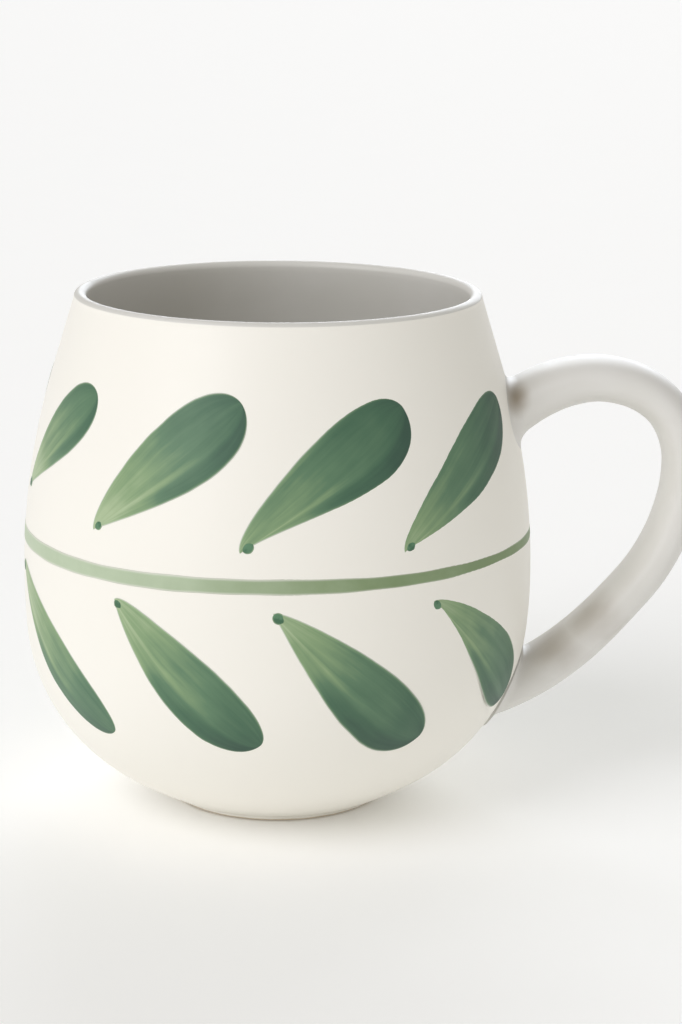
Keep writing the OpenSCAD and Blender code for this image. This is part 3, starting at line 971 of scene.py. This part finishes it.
class MUG_OT_leaves(bpy.types.Operator):
    """Lays the leaf strokes above and below the stem line"""
    bl_idname = "mug.paint_leaves"
    bl_label = "Paint Leaves"

    def execute(self, context):
        profile = body_profile()
        tree = brush_stroke_tree()
        paint = material_named(leaf_paint)
        lift = context.scene.mug_paint.lift
        for side, strokes in (("upper", UPPER_STROKES), ("lower", LOWER_STROKES)):
            for i, stroke in enumerate(strokes, 1):
                seed = i * 3.1 + (0 if side == "upper" else 40)
                obj = lay_stroke(f"{side}_stroke_{i}", stroke, seed, tree, profile, paint, lift)
                finish_piece(obj, [f"{side}_leaf_{i}"])
        return {"FINISHED"}


class MUG_OT_dots(bpy.types.Operator):
    """Dabs a dark dot on the tip of each leaf"""
    bl_idname = "mug.paint_dots"
    bl_label = "Dab Dots"

    def execute(self, context):
        profile = body_profile()
        tree = bpy.data.node_groups["Brush Stroke"]
        paint = material_named(dot_paint)
        lift = context.scene.mug_paint.lift * 1.7
        for side, strokes in (("upper", UPPER_STROKES), ("lower", LOWER_STROKES)):
            dabs = []
            for i, (azimuth, height, heading, *_) in enumerate(strokes, 1):
                size = 2.0 + 0.2 * math.sin(i * 2.4)
                inside = 0.6 if side == "upper" else 0.2
                azimuth += math.degrees(inside * math.cos(math.radians(heading)) * MM
                                        / profile.s.belly_radius)
                height += inside * math.sin(math.radians(heading))
                dab = (azimuth, height, heading, size, size * 0.47, size * 0.47, 0.5, 0.5, 0.0)
                dabs.append(lay_stroke(f"{side}_dab_{i}", dab, i, tree, profile, paint, lift,
                                       blunt=1.0, ragged=0.3, counts=(16, 14)))
            obj = join_pieces(f"{side}_tip_dabs", dabs, paint)
            finish_piece(obj, [f"{side}_tip_dots"])
        return {"FINISHED"}


def join_pieces(name, pieces, material):
    """One object from several of the same material."""
    bm = bmesh.new()
    for piece in pieces:
        bm.from_mesh(piece.data)
    mesh = bpy.data.meshes.new(name)
    bm.to_mesh(mesh)
    bm.free()
    mesh.materials.append(material)
    for piece in pieces:
        old = piece.data
        bpy.data.objects.remove(piece)
        bpy.data.meshes.remove(old)
    mesh.shade_smooth()
    return link_object(name, mesh)


class MUG_OT_stem(bpy.types.Operator):
    """Draws the stem line round the belly"""
    bl_idname = "mug.paint_stem"
    bl_label = "Draw Stem Line"

    def execute(self, context):
        profile = body_profile()
        p = context.scene.mug_paint
        turns, across = 360, 10
        verts, faces, edges = [], [], []
        for i in range(turns):
            az = 2 * math.pi * i / turns
            # hand wander, closed round the turn
            mid = p.stem_height + MM * (0.16 * math.sin(2 * az + 0.6) + 0.09 * math.sin(5 * az + 2.0))
            half = p.stem_width / 2 * (0.93 - 0.13 * math.sin(az) + 0.05 * math.sin(3 * az + 1.0)
                                       + 0.03 * math.sin(11 * az) + 0.02 * math.sin(29 * az + 0.7))
            ring = []
            for k in range(across + 1):
                v = 2 * k / across - 1
                z = mid + math.sin(v * math.pi / 2) * half
                edge = min(1.0, half * (1 - abs(math.sin(v * math.pi / 2))) / (0.35 * MM))
                rise = p.lift * edge * edge * (3 - 2 * edge) - 0.00002
                ring.append((profile.radius(z) + rise, z))
                edges.append(half * (1 - abs(math.sin(v * math.pi / 2))))
            edges += [0.0, 0.0]
            for v in (0.5, -0.5):
                z = mid + v * half
                ring.append((profile.radius(z) - 0.00014, z))
            verts += [(r * math.sin(az), -r * math.cos(az), z) for r, z in ring]
        n = across + 3
        for i in range(turns):
            j = (i + 1) % turns
            for k in range(n):
                m = (k + 1) % n
                faces.append((i * n + k, j * n + k, j * n + m, i * n + m))
        obj = link_object("stem_line", mesh_from("stem_line", verts, faces))
        mark = obj.data.attributes.new("stroke_edge", "FLOAT", "POINT")
        mark.data.foreach_set("value", edges)
        outward_normals(obj)
        finish_piece(obj, ["stem_band"], material_named(stem_wash))
        return {"FINISHED"}


# ---------------------------------------------------------------- stage

def soft_sun(name, azimuth, elevation, spread, strength, tint):
    """A very wide distant light. Azimuth 0 is the camera side; all angles in degrees."""
    data = bpy.data.lights.new(name, "SUN")
    data.energy = strength
    data.angle = math.radians(spread)
    data.color = colour(tint)[:3]
    obj = bpy.data.objects.new(name, data)
    az, el = math.radians(azimuth), math.radians(elevation)
    towards = Vector((math.sin(az) * math.cos(el), -math.cos(az) * math.cos(el), math.sin(el)))
    obj.rotation_euler = towards.to_track_quat("Z", "Y").to_euler()
    obj.location = towards
    bpy.context.scene.collection.objects.link(obj)


class MUG_OT_stage(bpy.types.Operator):
    """Sets the floor, the soft light and the camera"""
    bl_idname = "mug.set_stage"
    bl_label = "Set Stage"

    def execute(self, context):
        scene = context.scene
        s = scene.mug_stage
        # a wide flat floor, so far across that its edge lies above the picture
        far = 9.0
        floor = link_object("floor_sheet", mesh_from(
            "floor_sheet", [(-far, -far, 0), (far, -far, 0), (far, far, 0), (-far, far, 0)],
            [(0, 1, 2, 3)]))
        material, tree, shader = new_material("floor_paper")
        grain = noise(tree, object_point(tree), 30.0).outputs[0]
        tree.links.new(blend(tree, grain, colour("#FCFCFB"), colour("#FEFEFD")),
                       shader.inputs["Base Color"])
        shader.inputs["Roughness"].default_value = 0.9
        shader.inputs["Specular IOR Level"].default_value = 0.2
        # the sheet is lit softly from beneath too, as on a light table
        shader.inputs["Emission Color"].default_value = colour("#FFFCF3")
        shader.inputs["Emission Strength"].default_value = s.table_glow
        floor.data.materials.append(material)

        world = bpy.data.worlds.new("studio_air")
        scene.world = world
        world.use_nodes = True
        air = world.node_tree.nodes["Background"]
        air.inputs[0].default_value = colour("#FFFDF9")
        air.inputs[1].default_value = s.fill
        soft_sun("low_window", -45, 10, 40, s.low_strength, "#FAFAFF")
        soft_sun("high_window", -50, 40, 40, s.key_strength, "#FAFAFF")
        soft_sun("back_window", 170, 20, 40, s.back_strength, "#F0F6FF")

        scene.view_settings.view_transform = "Standard"
        scene.view_settings.look = "None"

        pan, tilt, roll = math.radians(1.356), math.radians(13.6), math.radians(0.472)
        ahead = Vector((math.sin(pan) * math.cos(tilt), math.cos(pan) * math.cos(tilt), -math.sin(tilt)))
        right = ahead.cross(Vector((0, 0, 1))).normalized()
        up = right.cross(ahead)
        right, up = (right * math.cos(roll) + up * math.sin(roll),
                     up * math.cos(roll) - right * math.sin(roll))
        data = bpy.data.cameras.new("camera")
        data.sensor_width = 36
        data.lens = 96.36
        data.clip_start = 0.01
        camera = bpy.data.objects.new("camera", data)
        turn = Matrix((right, up, -ahead)).transposed()
        camera.matrix_world = Matrix.Translation((0, -0.4837, 0.1694)) @ turn.to_4x4()
        scene.collection.objects.link(camera)
        scene.camera = camera
        return {"FINISHED"}


# ---------------------------------------------------------------- add-on

class MUG_PT_panel(bpy.types.Panel):
    """The mug's sizes and the steps that make it"""
    bl_label = "Painted Mug"
    bl_idname = "MUG_PT_panel"
    bl_space_type = "VIEW_3D"
    bl_region_type = "UI"
    bl_category = "Mug"

    def draw(self, context):
        scene = context.scene
        for group, names in (("mug_body", MugBodySettings.__annotations__),
                             ("mug_handle", MugHandleSettings.__annotations__),
                             ("mug_paint", MugPaintSettings.__annotations__),
                             ("mug_stage", MugStageSettings.__annotations__)):
            box = self.layout.box()
            for name in names:
                box.prop(getattr(scene, group), name)
        for operator in OPERATORS:
            self.layout.operator(operator.bl_idname)


OPERATORS = (MUG_OT_body, MUG_OT_handle, MUG_OT_stem, MUG_OT_leaves, MUG_OT_dots, MUG_OT_stage)
GROUPS = {"mug_body": MugBodySettings, "mug_handle": MugHandleSettings,
          "mug_paint": MugPaintSettings, "mug_stage": MugStageSettings}


def register():
    for cls in (*GROUPS.values(), *OPERATORS, MUG_PT_panel):
        bpy.utils.register_class(cls)
    for name, cls in GROUPS.items():
        setattr(bpy.types.Scene, name, PointerProperty(type=cls))


def unregister():
    for name in GROUPS:
        delattr(bpy.types.Scene, name)
    for cls in (MUG_PT_panel, *reversed(OPERATORS), *GROUPS.values()):
        bpy.utils.unregister_class(cls)


def main():
    register()
    bpy.ops.mug.set_stage()
    bpy.ops.mug.make_body()
    bpy.ops.mug.make_handle()
    bpy.ops.mug.paint_stem()
    bpy.ops.mug.paint_leaves()
    bpy.ops.mug.paint_dots()


if __name__ == "__main__":
    main()
